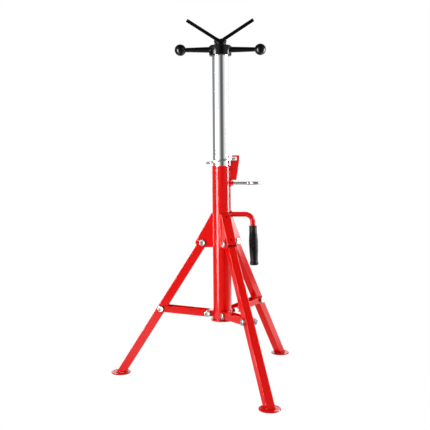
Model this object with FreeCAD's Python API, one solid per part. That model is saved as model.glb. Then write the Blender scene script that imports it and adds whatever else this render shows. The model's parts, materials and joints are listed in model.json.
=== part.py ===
import FreeCAD, Part
import math
import os

# Pipe stand with a V saddle on a screw jack, a sliding mast and a folding tripod.
# Millimetres. The origin is on the floor under the post, +Z is up and +X points to the carry handle.

V = FreeCAD.Vector
X = V(1, 0, 0)
Y = V(0, 1, 0)
Z = V(0, 0, 1)
ORIGIN = V(0, 0, 0)

# Clearances
pin_gap = 0.1  # radial, round a bolt or pin that something turns on
thread_gap = 0.05  # radial, a nut on its own bolt
slide_gap = 0.3  # radial, one round piece sliding in another
side_gap = 0.4  # each side of a leg or lug between its cheeks
face_gap = 0.05  # between flat faces that meet
seat_gap = 0.3  # between a moving piece and the stop that it rests on

# Post
post_d = 50.8
post_wall = 2.1
post_bottom = 166.0  # above the floor
post_length = 428.0
flange_d = 65.0
flange_t = 4.0

# Mast and jack
mast_d = 46.0
mast_wall = 2.4
mast_length = 600.0
mast_out = 307.5  # mast above the post's rim
nut_d = 62.0
nut_h = 27.0
nut_chamfer = 1.8
nut_cover = 7.5  # how far the hand nut reaches down over the mast
washer_t = 2.5
screw_d = 26.0
screw_show = 4.8  # bare screw between the hand nut and the boss
jack_travel = 100.0
stop_d = 38.0
stop_t = 6.0
stop_screw_d = 10.0
stop_screw_length = 25.0
stop_screw_head_d = 16.0
stop_screw_head_h = 8.0
head_turn = 7.5  # degrees that the V and the bars stand turned from the handle, about Z

# Turning bars
bar_rise = 16.5  # above the lower face of the hand nut
bar_root_d = 15.8
bar_tip_d = 12.0
bar_seat_depth = 1.6
bar_spigot_d = 10.0
bar_spigot_length = 10.0
ball_d = 31.5
ball_reach = 109.2
ball_spigot_d = 7.0
ball_spigot_length = 12.0

# V saddle
v_angle = 32.6  # each arm above level
v_arm = 104.0
v_thickness = 9.5
v_width = 38.0
v_bend = 12.0  # inner radius
v_edge = 1.0
boss_d = 33.0
boss_h = 1.8  # under the lowest point of the V
boss_reach_up = 7.65  # from the V's lowest point up round its bend

# Lock plate and its hook
lock_tilt = 9.0
lock_t = 6.0
lock_edge = 0.8
lock_ring_d = 66.0
lock_tab_reach = 40.0
lock_tab_w = 30.0
lock_tail_reach = 41.0
lock_tail_w = 20.0
lock_height = 19.7  # of the tail's fulcrum above the post's rim
lock_fulcrum_x = 36.0
hook_t = 8.0
hook_edge = 0.8
hook_out = 50.5
hook_foot_out = 41.5
hook_slot_end = 43.5
hook_slot_rise = 4.7  # from the fulcrum to the slot's roof or floor
hook_lip_start = 30.6
hook_lip_t = 4.4
hook_lug_start = 26.2  # inner edge, above the post
hook_taper_drop = 6.0  # from the fulcrum down to where the back starts to taper
hook_bottom_drop = 59.0  # from the fulcrum down to the hook's foot

# Eye screw
clamp_drop = 48.0  # below the post's rim
clamp_boss_d = 14.0
clamp_boss_out = 33.0
eye_shank_d = 8.0
eye_wire_d = 8.0
eye_ring_d = 31.0  # to the middle of the wire
eye_centre_x = 92.6
tip_d = 7.6
tip_length = 3.65

# Carry handle
handle_drop = 134.2  # below the post's rim
handle_rod_d = 14.0
handle_bend = 21.0
handle_axis_x = 86.6
handle_turn = 88.4
grip_start = 11.5  # straight rod between the bend and the grip
grip_length = 109.5
grip_end_wall = 6.0
grip_flange_d = 22.0
grip_flange_t = 3.0
grip_neck_d = 20.4
grip_belly_d = 25.5
grip_belly_at = 47.0  # from the grip's mouth
grip_waist_d = 20.8
grip_waist_before = 9.5  # short of the grip's end
grip_end_d = 23.4
grip_end_t = 7.0
grip_end_round = 2.5
grip_taper_steps = 8  # flat rings along each smooth stretch
grip_rib_pitch = 5.9
grip_rib_crest = 3.2
grip_rib_floor = 1.1
grip_rib_depth = 0.9
grip_rib_count = 9
grip_rib_start = 14.5

# Legs
leg_azimuths = {"rear": 60.0, "left": 180.0, "front": 300.0}  # degrees about the post, from +X
head_side = {"rear": -1, "left": 1, "front": -1}  # the side that the bolt heads are on
leg_w = 23.0
leg_wall = 2.0
leg_corner = 1.8  # outer radius
leg_corner_inner = 0.6
leg_spread = 32.64  # from vertical
leg_pivot_r = 52.7
leg_pivot_rise = 215.4  # above the post's bottom
foot_d = 56.0
foot_t = 4.0
foot_edge = 1.2
foot_pad_d = 38.0
foot_ring_d = 45.0
foot_ring_depth = 0.8

# Leg brackets
bracket_sheet = 2.0
bracket_rise = 82.6  # top edge above the pivot
bracket_drop = 12.8  # bottom edge below the pivot
bracket_top_out = 2.0  # web's outer face from the post, at the top
bracket_corner_out = 21.4  # lower end of the web from the pivot
bracket_corner_rise = 0.4
bracket_toe_out = 13.0
bracket_bend = 3.0
bracket_hole_d = 5.5
bracket_hole_top = 11.0  # from the web's upper end, along it
bracket_hole_low = 15.0  # from the web's lower end, along it

# Braces and collar
brace_on_leg = 224.2  # from the leg's pivot to the brace's bolt, along the leg
brace_sheet = 2.0
brace_h = 19.0
brace_bend = 2.0
web_start = 17.0  # from the collar's bolt
web_stop = 50.0  # short of the leg's bolt
collar_wall = 1.8
collar_h = 24.0
collar_pivot_r = 40.5
collar_pivot_rise = 15.3  # above the collar's bottom
lug_root_h = 18.0
lug_nose_d = 15.0

# Hex fasteners
bolt_d = 10.0
bolt_af = 16.0
bolt_head_h = 6.4
bolt_nut_h = 8.0
bolt_spare = 3.0  # past the nut
bolt_top_d = 15.2  # flat on top of a head or nut
bolt_slope = 60.0  # of the turned-off corners, from the bolt's axis

# Worked out from the sizes above
post_r = post_d / 2
post_bore = post_d - 2 * post_wall
post_top = post_bottom + post_length
mast_r = mast_d / 2
mast_bore = mast_d - 2 * mast_wall
mast_top = post_top + mast_out
nut_bottom = mast_top - nut_cover
nut_top = nut_bottom + nut_h
boss_bottom = nut_top + screw_show
v_bottom = boss_bottom + boss_h
collar_bottom = post_bottom + seat_gap
collar_r = post_r + slide_gap + collar_wall
channel_inner = leg_w + 2 * side_gap
bracket_w = channel_inner + 2 * bracket_sheet
brace_w = channel_inner + 2 * brace_sheet
bolt_hole_d = bolt_d + 2 * pin_gap
leg_pivot_z = post_bottom + leg_pivot_rise
spread = math.radians(leg_spread)
foot_r = leg_pivot_r + leg_pivot_z * math.tan(spread)
brace_r = leg_pivot_r + brace_on_leg * math.sin(spread)
brace_z = leg_pivot_z - brace_on_leg * math.cos(spread)
collar_pivot_z = collar_bottom + collar_pivot_rise
brace_length = math.hypot(brace_r - collar_pivot_r, brace_z - collar_pivot_z)
brace_rise = math.degrees(math.atan2(brace_z - collar_pivot_z, brace_r - collar_pivot_r))
fulcrum_z = post_top + lock_height
clamp_z = post_top - clamp_drop
handle_z = post_top - handle_drop
ball_z = nut_bottom + bar_rise


def rod(diameter, start, direction, length):
    return Part.makeCylinder(diameter / 2, length, start, direction)


def ring(outer_d, inner_d, bottom, height):
    outer = rod(outer_d, V(0, 0, bottom), Z, height)
    return outer.cut(rod(inner_d, V(0, 0, bottom), Z, height))


def block(x0, x1, y0, y1, z0, z1):
    return Part.makeBox(x1 - x0, y1 - y0, z1 - z0, V(x0, y0, z0))


def face_of(points):
    corners = [V(x, 0, z) for x, z in points]
    return Part.Face(Part.makePolygon(corners + corners[:1]))


def plate(points, width):
    """A flat outline in X and Z, with its width centred on the XZ plane."""
    shape = face_of(points).extrude(Y * width)
    shape.translate(Y * (-width / 2))
    return shape


def turned(points):
    """A half profile of radius and height, turned about Z."""
    return face_of(points).revolve(ORIGIN, Z, 360)


def stadium(length, height, width):
    """A bar along X with round ends, centred on its two end axes."""
    low = rod(height, V(0, -width / 2, 0), Y, width)
    high = rod(height, V(length, -width / 2, 0), Y, width)
    middle = block(0, length, -width / 2, width / 2, -height / 2, height / 2)
    return low.fuse(high).fuse(middle).removeSplitter()


def hex_block(height):
    """A hexagon standing on the XY plane, with its top corners turned off."""
    sides = 6
    corner_r = bolt_af / 2 / math.cos(math.pi / sides)
    corners = []
    for step in range(sides):
        angle = 2 * math.pi * step / sides
        corners.append(V(corner_r * math.cos(angle), corner_r * math.sin(angle), 0))
    prism = Part.Face(Part.makePolygon(corners + corners[:1])).extrude(Z * height)
    widening = height * math.tan(math.radians(bolt_slope))
    return prism.common(Part.makeCone(bolt_top_d / 2 + widening, bolt_top_d / 2, height))


def lay_along_y(shape, y, side):
    """Turns a piece that stands on the XY plane to point along +Y or -Y, with its base at y."""
    shape.rotate(ORIGIN, X, -90 * side)
    shape.translate(Y * y)
    return shape


def bolt_head(seat):
    return lay_along_y(hex_block(bolt_head_h), seat, 1)


def hex_nut(seat):
    bored = hex_block(bolt_nut_h)
    bored = bored.cut(rod(bolt_d + 2 * thread_gap, ORIGIN, Z, bolt_nut_h))
    return lay_along_y(bored, -seat, -1)


def whole_bolt(seat):
    length = 2 * seat + bolt_nut_h + bolt_spare
    shank = rod(bolt_d, V(0, seat, 0), -Y, length)
    return shank.fuse(bolt_head(seat)).removeSplitter()


def fit_fastener(shape, name, r, z):
    """Turns a fastener to its leg's head side, and puts it on an axis of that leg's plane."""
    if head_side[name] < 0:
        shape.rotate(ORIGIN, Z, 180)
    shape.translate(V(r, 0, z))
    return to_leg(shape, name)


def to_leg(shape, name):
    shape.rotate(ORIGIN, Z, leg_azimuths[name])
    return shape


def to_head(shape):
    shape.rotate(ORIGIN, Z, head_turn)
    return shape


def save(node, *solids):
    shape = solids[0] if len(solids) == 1 else Part.makeCompound(list(solids))
    shape.exportStep("parts/%s.step" % node)


def make_post():
    tube = ring(post_d, post_bore, post_bottom, post_length)
    clamp_hole = rod(eye_shank_d + 2 * slide_gap, V(0, 0, clamp_z), X, post_d)
    save("outer_tube", tube.cut(clamp_hole))
    save("bottom_flange", ring(flange_d, post_bore, post_bottom - flange_t, flange_t))


def make_bracket(name):
    """A folded sheet: two cheeks and a sloping web, cut to the post."""
    top = leg_pivot_z + bracket_rise
    bottom = leg_pivot_z - bracket_drop
    web_top = (post_r + bracket_top_out, top)
    web_low = (leg_pivot_r + bracket_corner_out, leg_pivot_z + bracket_corner_rise)
    toe = (leg_pivot_r + bracket_toe_out, bottom)
    run = math.hypot(web_low[0] - web_top[0], web_low[1] - web_top[1])
    along = ((web_low[0] - web_top[0]) / run, (web_low[1] - web_top[1]) / run)
    inward = (along[1], -along[0])
    outside = plate([(0, top), web_top, web_low, toe, (0, bottom)], bracket_w)
    folds = [edge for edge in outside.Edges if is_fold(edge, web_top, web_low)]
    outside = outside.makeFillet(bracket_bend, folds)

    def from_corner(corner, distance, depth):
        return (corner[0] + along[0] * distance + inward[0] * depth,
                corner[1] + along[1] * distance + inward[1] * depth)

    behind_web = [
        from_corner(web_top, -run, bracket_sheet),
        from_corner(web_low, run, bracket_sheet),
        (-run, bottom - run),
        (-run, top + run),
    ]
    under_web = [
        from_corner(web_low, 0, -run),
        from_corner(web_low, 0, run),
        from_corner(web_low, run, run),
        from_corner(web_low, run, -run),
    ]
    shape = outside.cut(plate(behind_web, channel_inner))
    shape = shape.cut(plate(under_web, channel_inner))
    shape = shape.cut(rod(post_d, V(0, 0, bottom), Z, top - bottom))
    shape = shape.cut(rod(bolt_hole_d, V(leg_pivot_r, -bracket_w, leg_pivot_z), Y, 2 * bracket_w))
    outward = V(-inward[0], 0, -inward[1])
    for distance in (bracket_hole_top, run - bracket_hole_low):
        centre = V(web_top[0] + along[0] * distance, 0, web_top[1] + along[1] * distance)
        start = centre - outward * (2 * bracket_sheet)
        shape = shape.cut(rod(bracket_hole_d, start, outward, 4 * bracket_sheet))
    save("leg_bracket_" + name, to_leg(shape, name))


def is_fold(edge, upper, lower):
    """True for the two long edges that run down the outside of the web."""
    heights = sorted(vertex.Point.z for vertex in edge.Vertexes)
    if len(heights) != 2:
        return False
    return abs(heights[0] - lower[1]) < 0.01 and abs(heights[1] - upper[1]) < 0.01


def make_leg(name):
    """A square tube with a round upper end, cut level where it stands on its foot."""
    length = leg_pivot_z / math.cos(spread) + 2 * leg_w
    half = leg_w / 2
    outside = square_bar(leg_w, leg_corner, -length, half)
    tube = outside.cut(square_bar(leg_w - 2 * leg_wall, leg_corner_inner, -length, half))
    below = block(-leg_w, leg_w, -leg_w, leg_w, -length, 0)
    tube = tube.common(below.fuse(rod(leg_w, V(0, -leg_w, 0), Y, 2 * leg_w)))
    for distance in (0, brace_on_leg):
        tube = tube.cut(rod(bolt_hole_d, V(0, -leg_w, -distance), Y, 2 * leg_w))
    tube.rotate(ORIGIN, Y, -leg_spread)
    tube.translate(V(leg_pivot_r, 0, leg_pivot_z))
    reach = 2 * length
    tube = tube.cut(block(-reach, reach, -reach, reach, -reach, foot_t))
    save("leg_" + name, to_leg(tube, name))


def square_bar(width, corner, z0, z1):
    bar = block(-width / 2, width / 2, -width / 2, width / 2, z0, z1)
    long_edges = [edge for edge in bar.Edges if edge.Length > 2 * width]
    return bar.makeFillet(corner, long_edges)


def make_foot(name):
    rim = foot_d / 2
    ring_floor = foot_t - foot_ring_depth
    foot = turned([
        (0, 0),
        (rim - foot_edge, 0),
        (rim, foot_edge),
        (rim, foot_t - foot_edge),
        (rim - foot_edge, foot_t),
        (foot_ring_d / 2 + foot_ring_depth, foot_t),
        (foot_ring_d / 2, ring_floor),
        (foot_pad_d / 2 + foot_ring_depth, ring_floor),
        (foot_pad_d / 2, foot_t),
        (0, foot_t),
    ])
    foot.translate(X * foot_r)
    save("foot_" + name, to_leg(foot, name))


def make_brace(name):
    """A channel, open at the top, whose web stops short of the leg and of the collar's lug."""
    bar = stadium(brace_length, brace_h, brace_w)
    folds = [edge for edge in bar.Edges if runs_under(edge)]
    bar = bar.makeFillet(brace_bend, folds)
    half = channel_inner / 2
    far = 2 * brace_length
    bar = bar.cut(block(-far, far, -half, half, brace_sheet - brace_h / 2, brace_h))
    bar = bar.cut(block(-far, web_start, -half, half, -brace_h, brace_h))
    bar = bar.cut(block(brace_length - web_stop, far, -half, half, -brace_h, brace_h))
    for distance in (0, brace_length):
        bar = bar.cut(rod(bolt_hole_d, V(distance, -brace_w, 0), Y, 2 * brace_w))
    bar.rotate(ORIGIN, Y, -brace_rise)
    bar.translate(V(collar_pivot_r, 0, collar_pivot_z))
    save("brace_" + name, to_leg(bar, name))


def runs_under(edge):
    """True for the two straight edges along the bottom of a brace."""
    if len(edge.Vertexes) != 2:
        return False
    ends = [vertex.Point for vertex in edge.Vertexes]
    if abs(ends[0].x - ends[1].x) < brace_length / 2:
        return False
    return all(abs(end.z + brace_h / 2) < 0.01 for end in ends)


def make_brace_fastener(name):
    """The brace's bolt is in two ends, in the cheeks, because the leg turns clear of it."""
    seat = brace_w / 2
    half = channel_inner / 2
    head_end = bolt_head(seat).fuse(rod(bolt_d, V(0, seat, 0), -Y, brace_sheet)).removeSplitter()
    tail_length = brace_sheet + bolt_nut_h + bolt_spare
    tail_end = rod(bolt_d, V(0, -half, 0), -Y, tail_length)
    ends = [fit_fastener(end, name, brace_r, brace_z) for end in (head_end, tail_end)]
    save("brace_bolt_" + name, *ends)
    save("brace_nut_" + name, fit_fastener(hex_nut(seat), name, brace_r, brace_z))


def make_bolt_groups():
    pivot_seat = bracket_w / 2
    collar_seat = brace_w / 2 + seat_gap
    groups = {
        "leg_pivot": (pivot_seat, leg_pivot_r, leg_pivot_z),
        "collar": (collar_seat, collar_pivot_r, collar_pivot_z),
    }
    for group, (seat, r, z) in groups.items():
        bolts = [fit_fastener(whole_bolt(seat), name, r, z) for name in leg_azimuths]
        nuts = [fit_fastener(hex_nut(seat), name, r, z) for name in leg_azimuths]
        save(group + "_bolts", *bolts)
        save(group + "_nuts", *nuts)


def make_collar():
    save("collar_sleeve", ring(2 * collar_r, post_d + 2 * slide_gap, collar_bottom, collar_h))
    lugs = []
    for name in leg_azimuths:
        root = lug_root_h / 2
        nose = lug_nose_d / 2
        body = plate([
            (0, collar_pivot_z - root),
            (collar_r, collar_pivot_z - root),
            (collar_pivot_r, collar_pivot_z - nose),
            (collar_pivot_r, collar_pivot_z + nose),
            (collar_r, collar_pivot_z + root),
            (0, collar_pivot_z + root),
        ], leg_w)
        body = body.fuse(rod(lug_nose_d, V(collar_pivot_r, -leg_w / 2, collar_pivot_z), Y, leg_w))
        body = body.removeSplitter()
        body = body.cut(rod(2 * collar_r, V(0, 0, collar_bottom - collar_h), Z, 3 * collar_h))
        hole = rod(bolt_hole_d, V(collar_pivot_r, -leg_w, collar_pivot_z), Y, 2 * leg_w)
        lugs.append(to_leg(body.cut(hole), name))
    save("collar_lugs", *lugs)


def make_mast():
    save("inner_tube", ring(mast_d, mast_bore, mast_top - mast_length, mast_length))
    washer_bore = screw_d + 2 * slide_gap
    save("thrust_washer", ring(mast_d, washer_bore, mast_top + face_gap, washer_t))


def make_hand_nut():
    """The hub covers the mast's rim, and its bars screw into flat seats on two sides."""
    outer = nut_d / 2
    hub = turned([
        (0, nut_bottom),
        (outer - nut_chamfer, nut_bottom),
        (outer, nut_bottom + nut_chamfer),
        (outer, nut_top - nut_chamfer),
        (outer - nut_chamfer, nut_top),
        (0, nut_top),
    ])
    recess_h = nut_cover + washer_t + 2 * face_gap
    hub = hub.cut(rod(mast_d + 2 * slide_gap, V(0, 0, nut_bottom), Z, recess_h))
    hub = hub.cut(rod(screw_d + 2 * slide_gap, V(0, 0, nut_bottom), Z, nut_h))
    seat_x = outer - bar_seat_depth
    for side in (-1, 1):
        seat_start = V(side * (seat_x - face_gap), 0, ball_z)
        seat = rod(bar_root_d + 2 * pin_gap, seat_start, X * side, nut_d)
        socket_start = V(side * (seat_x - bar_spigot_length - pin_gap), 0, ball_z)
        socket = rod(bar_spigot_d + 2 * thread_gap, socket_start, X * side, nut_d)
        hub = hub.cut(seat).cut(socket)
    save("hand_nut", to_head(hub))


def make_turning_bars():
    seat_x = nut_d / 2 - bar_seat_depth
    ball_r = ball_d / 2
    ball_flat = ball_reach - math.sqrt(ball_r ** 2 - (bar_tip_d / 2) ** 2)
    for name, side in (("left", -1), ("right", 1)):
        way = X * side
        seat = V(side * seat_x, 0, ball_z)
        flat = V(side * ball_flat, 0, ball_z)
        bar = Part.makeCone(bar_root_d / 2, bar_tip_d / 2, ball_flat - seat_x, seat, way)
        root = rod(bar_spigot_d, seat, -way, bar_spigot_length)
        tip = rod(ball_spigot_d, flat, way, ball_spigot_length)
        save("turning_bar_" + name, to_head(bar.fuse(root).fuse(tip).removeSplitter()))
        ball = Part.makeSphere(ball_r, V(side * ball_reach, 0, ball_z), way)
        ball = ball.cut(rod(ball_d, flat + way * face_gap, -way, ball_d))
        socket_d = ball_spigot_d + 2 * thread_gap
        ball = ball.cut(rod(socket_d, flat, way, ball_spigot_length + pin_gap))
        save("ball_" + name, to_head(ball))


def v_outline():
    """The bent bar's outline: two straight arms, with arcs round one centre at the bend."""
    angle = math.radians(v_angle)
    outer_bend = v_bend + v_thickness
    centre_z = v_bottom + outer_bend
    straight = v_arm - v_bend * math.tan(angle)

    def bend_point(radius, turn):
        return V(radius * math.sin(turn), 0, centre_z - radius * math.cos(turn))

    def arm_end(radius, side):
        start = bend_point(radius, side * angle)
        return start + V(side * straight * math.cos(angle), 0, straight * math.sin(angle))

    inner_left = bend_point(v_bend, -angle)
    inner_right = bend_point(v_bend, angle)
    outer_left = bend_point(outer_bend, -angle)
    outer_right = bend_point(outer_bend, angle)
    edges = [
        Part.LineSegment(arm_end(v_bend, -1), inner_left).toShape(),
        Part.Arc(inner_left, bend_point(v_bend, 0), inner_right).toShape(),
        Part.LineSegment(inner_right, arm_end(v_bend, 1)).toShape(),
        Part.LineSegment(arm_end(v_bend, 1), arm_end(outer_bend, 1)).toShape(),
        Part.LineSegment(arm_end(outer_bend, 1), outer_right).toShape(),
        Part.Arc(outer_right, bend_point(outer_bend, 0), outer_left).toShape(),
        Part.LineSegment(outer_left, arm_end(outer_bend, -1)).toShape(),
        Part.LineSegment(arm_end(outer_bend, -1), arm_end(v_bend, -1)).toShape(),
    ]
    return Part.Face(Part.Wire(edges))


def make_saddle():
    bar = v_outline().extrude(Y * v_width)
    bar.translate(Y * (-v_width / 2))
    boss = rod(boss_d, V(0, 0, boss_bottom), Z, boss_h + boss_reach_up).cut(bar)
    save("v_saddle", to_head(bar.makeFillet(v_edge, bar.Edges)))
    save("saddle_boss", to_head(boss))


def make_jack_screw():
    """The screw hangs from the boss; a disc on its lower end stops at the hand nut."""
    grip = nut_h - nut_cover
    bottom = boss_bottom - screw_show - grip - jack_travel
    tapped = rod(stop_screw_d + 2 * thread_gap, V(0, 0, bottom), Z, stop_screw_length)
    save("jack_screw", rod(screw_d, V(0, 0, bottom), Z, boss_bottom - bottom).cut(tapped))
    disc_bottom = bottom - stop_t
    save("screw_stop", ring(stop_d, stop_screw_d + 2 * thread_gap, disc_bottom, stop_t))
    shank = rod(stop_screw_d, V(0, 0, disc_bottom), Z, stop_t + stop_screw_length - slide_gap)
    head = rod(stop_screw_head_d, V(0, 0, disc_bottom), -Z, stop_screw_head_h)
    save("stop_screw", shank.fuse(head).removeSplitter())


def make_lock_plate():
    """A holed plate that tilts on its tail; the hole is as large as the mast needs at that tilt."""
    tilt = math.radians(lock_tilt)
    hole_d = (mast_d + lock_t * math.sin(tilt)) / math.cos(tilt) + 2 * slide_gap
    outline = rod(lock_ring_d, V(0, 0, -lock_t / 2), Z, lock_t)
    tab = block(-lock_tab_reach, 0, -lock_tab_w / 2, lock_tab_w / 2, -lock_t / 2, lock_t / 2)
    tail = block(0, lock_tail_reach, -lock_tail_w / 2, lock_tail_w / 2, -lock_t / 2, lock_t / 2)
    shape = outline.fuse(tab).fuse(tail).removeSplitter()
    rims = [edge for edge in shape.Edges if is_level(edge)]
    shape = shape.makeFillet(lock_edge, rims)
    shape = shape.cut(rod(hole_d, V(0, 0, -lock_t), Z, 2 * lock_t))
    shape.rotate(ORIGIN, Y, -lock_tilt)
    shape.translate(Z * (fulcrum_z - lock_fulcrum_x * math.tan(tilt)))
    save("lock_plate", shape)


def is_level(edge):
    return edge.BoundBox.ZLength < 0.01


def make_hook():
    slot_floor = fulcrum_z - hook_slot_rise
    slot_roof = fulcrum_z + hook_slot_rise
    foot = fulcrum_z - hook_bottom_drop
    shape = plate([
        (0, foot),
        (hook_foot_out, foot),
        (hook_out, fulcrum_z - hook_taper_drop),
        (hook_out, slot_roof + hook_lip_t),
        (hook_lip_start, slot_roof + hook_lip_t),
        (hook_lip_start, slot_roof),
        (hook_slot_end, slot_roof),
        (hook_slot_end, slot_floor),
        (hook_lug_start, slot_floor),
        (hook_lug_start, post_top),
        (0, post_top),
    ], hook_t)
    rims = [edge for edge in shape.Edges if edge.BoundBox.YLength < 0.01 and edge.BoundBox.XMax > post_r]
    shape = shape.makeFillet(hook_edge, rims)
    save("hook_bracket", shape.cut(rod(post_d, V(0, 0, foot), Z, post_top - foot)))


def make_clamp():
    bore = eye_shank_d + 2 * slide_gap
    boss = rod(clamp_boss_d, V(0, 0, clamp_z), X, clamp_boss_out)
    boss = boss.cut(rod(post_d, V(0, 0, clamp_z - clamp_boss_d), Z, 2 * clamp_boss_d))
    save("clamp_boss", boss.cut(rod(bore, V(0, 0, clamp_z), X, clamp_boss_out)))
    tip_start = mast_r + slide_gap
    save("clamp_tip", rod(tip_d, V(tip_start, 0, clamp_z), X, tip_length))
    shank_start = tip_start + tip_length + face_gap
    shank_end = eye_centre_x - eye_ring_d / 2
    shank = rod(eye_shank_d, V(shank_start, 0, clamp_z), X, shank_end - shank_start)
    eye = Part.makeTorus(eye_ring_d / 2, eye_wire_d / 2, V(eye_centre_x, 0, clamp_z), Z)
    save("eye_screw", shank.fuse(eye).removeSplitter())


def make_handle():
    """A bent rod welded to the post, with a ribbed grip slipped over its lower end."""
    turn = math.radians(handle_turn)
    bend_x = handle_axis_x - handle_bend
    pivot = V(bend_x, 0, handle_z - handle_bend)
    bend_end = pivot + V(handle_bend * math.sin(turn), 0, handle_bend * math.cos(turn))
    bend_middle = pivot + V(handle_bend * math.sin(turn / 2), 0, handle_bend * math.cos(turn / 2))
    down = V(math.cos(turn), 0, -math.sin(turn))
    straight = grip_start + grip_length - grip_end_wall
    path = Part.Wire([
        Part.LineSegment(V(0, 0, handle_z), V(bend_x, 0, handle_z)).toShape(),
        Part.Arc(V(bend_x, 0, handle_z), bend_middle, bend_end).toShape(),
        Part.LineSegment(bend_end, bend_end + down * straight).toShape(),
    ])
    section = Part.Wire(Part.Circle(V(0, 0, handle_z), X, handle_rod_d / 2).toShape())
    bent = path.makePipeShell([section], True, False)
    clear = rod(post_d, V(0, 0, handle_z - handle_rod_d), Z, 2 * handle_rod_d)
    save("handle_rod", bent.cut(clear))
    grip = turned(grip_profile())
    grip = grip.cut(rod(handle_rod_d + 2 * thread_gap, ORIGIN, Z, grip_length - grip_end_wall))
    grip.rotate(ORIGIN, Y, 90 + handle_turn)
    grip.translate(bend_end + down * grip_start)
    save("handle_grip", grip)


def grip_radius(distance):
    """The grip swells by half a cosine from neck to belly, and narrows the same way to its waist."""
    waist = grip_length - grip_waist_before
    if distance < grip_belly_at:
        thin = grip_neck_d
        share = (distance - grip_flange_t) / (grip_belly_at - grip_flange_t)
    else:
        thin = grip_waist_d
        share = (waist - distance) / (waist - grip_belly_at)
    swell = (1 - math.cos(math.pi * share)) / 2
    return (thin + (grip_belly_d - thin) * swell) / 2


def grip_profile():
    """Radius against distance from the grip's mouth: a flange, a ribbed belly, a waist and a thick end."""
    waist = grip_length - grip_waist_before
    rib_end = grip_rib_start + grip_rib_count * grip_rib_pitch
    points = [(0, 0), (grip_flange_d / 2, 0), (grip_flange_d / 2, grip_flange_t)]
    points += smooth_stretch(grip_flange_t, grip_rib_start)
    for rib in range(grip_rib_count):
        floor = grip_rib_start + rib * grip_rib_pitch
        ramp = (grip_rib_pitch - grip_rib_crest - grip_rib_floor) / 2
        crest = floor + grip_rib_floor + ramp
        radius = grip_radius(crest + grip_rib_crest / 2)
        points += [
            (radius - grip_rib_depth, floor),
            (radius - grip_rib_depth, floor + grip_rib_floor),
            (radius, crest),
            (radius, crest + grip_rib_crest),
        ]
    points += smooth_stretch(rib_end, waist)
    points += [
        (grip_end_d / 2, grip_length - grip_end_t),
        (grip_end_d / 2, grip_length - grip_end_round),
        (grip_end_d / 2 - grip_end_round, grip_length),
        (0, grip_length),
    ]
    return points


def smooth_stretch(start, stop):
    step = (stop - start) / grip_taper_steps
    distances = [start + step * number for number in range(grip_taper_steps + 1)]
    return [(grip_radius(distance), distance) for distance in distances]


os.makedirs("parts", exist_ok=True)
make_post()
for leg_name in leg_azimuths:
    make_bracket(leg_name)
    make_leg(leg_name)
    make_foot(leg_name)
    make_brace(leg_name)
    make_brace_fastener(leg_name)
make_bolt_groups()
make_collar()
make_mast()
make_hand_nut()
make_turning_bars()
make_saddle()
make_jack_screw()
make_lock_plate()
make_hook()
make_clamp()
make_handle()
print("foot radius %.2f, brace length %.3f, brace rise %.3f" % (foot_r, brace_length, brace_rise))
print("leg pivot %.2f %.2f, leg bolt %.3f %.3f" % (leg_pivot_r, leg_pivot_z, brace_r, brace_z))
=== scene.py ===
import json

import bpy
import numpy as np
from mathutils import Matrix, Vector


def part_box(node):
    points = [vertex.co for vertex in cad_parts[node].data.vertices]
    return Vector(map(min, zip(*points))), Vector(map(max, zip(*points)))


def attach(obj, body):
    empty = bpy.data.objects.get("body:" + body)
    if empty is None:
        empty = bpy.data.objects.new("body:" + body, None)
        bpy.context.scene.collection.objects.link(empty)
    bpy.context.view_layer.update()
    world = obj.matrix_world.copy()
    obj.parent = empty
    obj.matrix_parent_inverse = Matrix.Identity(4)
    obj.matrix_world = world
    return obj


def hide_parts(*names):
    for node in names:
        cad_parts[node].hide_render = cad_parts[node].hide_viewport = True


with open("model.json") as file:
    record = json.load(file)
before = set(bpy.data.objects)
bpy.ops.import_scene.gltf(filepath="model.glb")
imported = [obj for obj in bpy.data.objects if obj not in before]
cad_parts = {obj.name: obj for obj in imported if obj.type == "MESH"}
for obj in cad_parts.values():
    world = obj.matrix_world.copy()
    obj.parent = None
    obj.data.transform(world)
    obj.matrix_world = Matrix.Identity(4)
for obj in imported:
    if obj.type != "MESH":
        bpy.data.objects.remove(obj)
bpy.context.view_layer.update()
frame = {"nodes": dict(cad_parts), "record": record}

mm = 0.001
tau = 2 * np.pi
up = np.array([0.0, 0.0, 1.0])
east = np.array([1.0, 0.0, 0.0])
north = np.array([0.0, 1.0, 0.0])
scene = bpy.context.scene
cadNodes = frame["nodes"]
joints = {joint["name"]: joint for joint in frame["record"]["behaviour"]["joints"]}
slotOf = {part["node"]: part["material_slot"] for part in frame["record"]["subparts"]}
legNames = ("rear", "left", "front")
dice = np.random.default_rng(11)  # for the slow wander of the weld beads
print("frame loaded:", len(cadNodes), "solids")


# materials

def linear(code):  # sRGB hex to the linear colour that sockets take
    channels = np.array([int(code[start:start + 2], 16) for start in (1, 3, 5)]) / 255
    low = channels / 12.92
    high = ((channels + 0.055) / 1.055) ** 2.4
    return (*np.where(channels <= 0.04045, low, high).tolist(), 1.0)


def perMetre(size):  # texture scale whose features are this many millimetres wide
    return 1 / (size * mm)


def addNode(tree, kind, settings=None, **sockets):
    # one node and its settings; its sockets, by name or by number as in i0, are set or linked
    made = tree.nodes.new("ShaderNode" + kind)
    for name, value in (settings or {}).items():
        setattr(made, name, value)
    for name, value in sockets.items():
        key = int(name[1:]) if name[1:].isdigit() else name.replace("_", " ")
        if isinstance(value, bpy.types.NodeSocket):
            tree.links.new(value, made.inputs[key])
        else:
            made.inputs[key].default_value = value
    return made


def emptyTree(owner):  # the cleared node tree of a material or a world
    owner.use_nodes = True
    owner.node_tree.nodes.clear()
    return owner.node_tree


def newFinish(name):
    material = bpy.data.materials.new(name)
    tree = emptyTree(material)
    return material, tree, addNode(tree, "TexCoord").outputs["Object"]


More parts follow.
